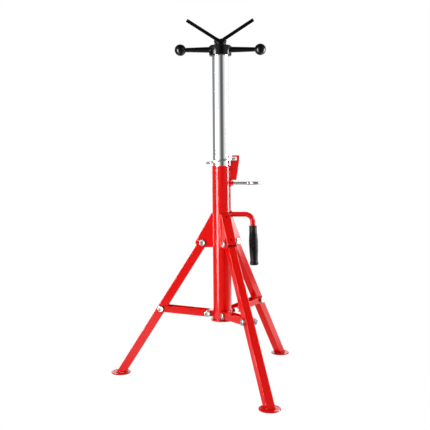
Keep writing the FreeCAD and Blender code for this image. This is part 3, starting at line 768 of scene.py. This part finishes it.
def rayKinds(tree):  # camera rays, glossy rays, and camera or transmission rays
    path = addNode(tree, "LightPath").outputs
    seen = combine(tree, "MAXIMUM", path["Is Camera Ray"], path["Is Transmission Ray"])
    return path["Is Camera Ray"], path["Is Glossy Ray"], seen


room = dict(ambient=0.55, ceiling=0.2, ceilingFrom=(0.45, 0.75),
            walls=[(-180, 0.6), (-156, 1.0), (-107, 1.0), (-88, 0.24), (-71, 0.1), (-57, 0.17), (-30, 1.0),
                   (78, 1.0), (84, 2.3), (108, 2.3), (114, 0.28), (162, 0.28)])  # degrees from +X, level


def makeWorld():
    # a white room with a dim ceiling and two dim gaps, behind the camera and far left, that polished metal
    # shows as dark bands, and a bright wall far behind that undersides show; plain white to the camera and
    # a plain even light to matt surfaces
    world = bpy.data.worlds.new("studio_room")
    scene.world = world
    tree = emptyTree(world)
    way = addNode(tree, "SeparateXYZ", Vector=addNode(tree, "TexCoord").outputs["Generated"]).outputs
    angle = combine(tree, "ARCTAN2", way["Y"], way["X"])
    walls = addNode(tree, "ValToRGB", Fac=remap(tree, angle, -np.pi, np.pi, 0.0, 1.0))
    ramp = walls.color_ramp.elements
    while len(ramp) < len(room["walls"]):
        ramp.new(0.5)
    for element, (turn, level) in zip(ramp, room["walls"]):
        element.position = (turn + 180) / 360
        element.color = (level, level, level, 1)
    start, end = room["ceilingFrom"]
    height = addNode(tree, "MapRange", {"interpolation_type": "SMOOTHSTEP"}, i0=way["Z"],
                     i1=start, i2=end, i3=1.0, i4=room["ceiling"])
    dimmed = addNode(tree, "Mix", {"data_type": "RGBA", "blend_type": "MULTIPLY"}, i0=1.0,
                     i6=walls.outputs["Color"], i7=height.outputs["Result"])
    glossy, seen = rayKinds(tree)[1:]
    even = remap(tree, seen, 0.0, 1.0, room["ambient"], 1.0)
    sky = addNode(tree, "Background", Color=blend(tree, glossy, even, dimmed.outputs[2]), Strength=1.0)
    addNode(tree, "OutputWorld", Surface=sky.outputs["Background"])


sweep = dict(half=12.0, paint="#F4F4F4", white=0.85, whiteLevel=1.09, dim=0.38, footSpot=(0.034, 0.05),
             # pools: painted pools of light on the floor, each with its centre, inner and outer radius and
             # gain, seen only in reflections
             pools=[((-0.55, -0.45, 0), 0.25, 0.68, 2.3), ((0.8, 0.5, 0), 0.4, 0.8, 2.4)])


def addSpots(tree, place, base, spots):
    # a base level plus soft round spots, each with its centre, inner and outer radius and gain
    level = base
    for centre, inner, outer, gain in spots:
        away = addNode(tree, "VectorMath", {"operation": "DISTANCE"}, i0=place, i1=centre)
        spot = addNode(tree, "MapRange", {"interpolation_type": "SMOOTHSTEP"}, i0=away.outputs["Value"],
                       i1=inner, i2=outer, i3=gain, i4=0.0)
        level = combine(tree, "ADD", level, spot.outputs["Result"])
    return level


def makeFloor():
    # a wide pale floor: mostly its own white to the camera, so that only the contact shadow is left;
    # reflections see it glow dim, with a painted pool of light before each softbox. The camera looks through
    # it except round the three standing feet, because folded legs reach below it: the real post rises as they
    # fold
    half = sweep["half"]
    mesh = bpy.data.meshes.new("floor")
    mesh.from_pydata([(-half, -half, 0), (half, -half, 0), (half, half, 0), (-half, half, 0)], [],
                     [[0, 1, 2, 3]])
    material, tree, place = newFinish("white_sweep")
    camera, glossy, seen = rayKinds(tree)
    feet = [np.mean(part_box("foot_" + name), axis=0) for name in legNames]
    near = addSpots(tree, place, 0.0, [((*foot[:2], 0), *sweep["footSpot"], 1.0) for foot in feet])
    # painted pools of light: to reflections the floor glows brighter before each softbox
    lit = addSpots(tree, place, sweep["dim"], sweep["pools"])
    level = addNode(tree, "Mix", i0=glossy, i2=sweep["whiteLevel"], i3=lit)
    glow = addNode(tree, "Emission", Color=linear("#FFFFFF"), Strength=level.outputs["Result"])
    matt = addNode(tree, "BsdfDiffuse", Color=linear(sweep["paint"]))
    white = combine(tree, "MULTIPLY", combine(tree, "MAXIMUM", seen, glossy), sweep["white"])
    both = addNode(tree, "MixShader", Fac=white, i1=matt.outputs["BSDF"], i2=glow.outputs["Emission"])
    through = addNode(tree, "Math", {"operation": "SUBTRACT", "use_clamp": True}, i0=camera, i1=near)
    opened = addNode(tree, "MixShader", Fac=through.outputs["Value"], i1=both.outputs["Shader"],
                     i2=addNode(tree, "BsdfTransparent").outputs["BSDF"])
    addNode(tree, "OutputMaterial", Surface=opened.outputs["Shader"])
    mesh.materials.append(material)
    floor = bpy.data.objects.new("floor", mesh)
    scene.collection.objects.link(floor)


cameraPlace = dict(distance=1.9933, height=0.6175, focalPixels=718.7, imagePixels=430, yaw=0.535,
                   pitch=4.587, roll=-0.527, sensor=36.0, clipEnd=60)


def makeCamera():
    data = bpy.data.cameras.new("photo_camera")
    data.sensor_width = cameraPlace["sensor"]
    data.lens = cameraPlace["focalPixels"] / cameraPlace["imagePixels"] * cameraPlace["sensor"]
    data.clip_end = cameraPlace["clipEnd"]
    heading = np.radians(photoTurn + cameraPlace["yaw"])
    pitch = np.radians(cameraPlace["pitch"])
    roll = np.radians(cameraPlace["roll"])
    ahead = np.array([-np.sin(heading) * np.cos(pitch), np.cos(heading) * np.cos(pitch), -np.sin(pitch)])
    side = unit(np.cross(ahead, up))
    above = np.cross(side, ahead)
    rolledSide = np.cos(roll) * side + np.sin(roll) * above
    rolledUp = np.cos(roll) * above - np.sin(roll) * side
    place = awayFrom(0, cameraPlace["distance"], cameraPlace["height"])
    camera = bpy.data.objects.new("photo_camera", data)
    scene.collection.objects.link(camera)
    camera.matrix_world = placed(place, rolledSide, rolledUp, -ahead)
    scene.camera = camera


scene.view_settings.view_transform = "Standard"
makeWorld()
makeFloor()
for name, settings in softboxes.items():
    addSoftbox(name, **settings)
for name, settings in cards.items():
    addCard(name, **settings)
makeCamera()
print("stage and camera made")
